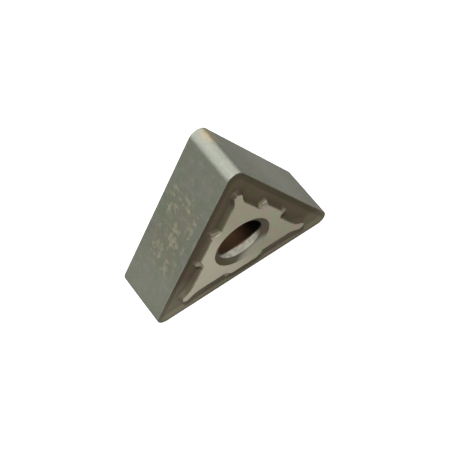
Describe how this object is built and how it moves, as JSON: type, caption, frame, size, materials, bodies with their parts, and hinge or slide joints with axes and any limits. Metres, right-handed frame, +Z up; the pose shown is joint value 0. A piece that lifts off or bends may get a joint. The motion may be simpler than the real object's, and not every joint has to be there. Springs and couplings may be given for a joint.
{
  "type": "carbide insert",
  "caption": "Triangular double-sided carbide turning insert with rounded noses, pressed chip grooves, ground seating faces and a countersunk bore.",
  "frame": {"origin": "middle of the flank that the insert stands on, at the middle of its thickness", "axes": "+Z up from that flank to the opposite nose; Y along the bore, with the front face towards -Y; +X along the flank"},
  "size_m": [0.0154, 0.005, 0.0135],
  "materials": {
    "coated_carbide": "fine-grained grey-olive coating, darker and browner in the pressed grooves, ground bright and pale on the seating faces"
  },
  "bodies": {
    "root": {"carbide_insert": "coated_carbide"}
  },
  "joints": []
}
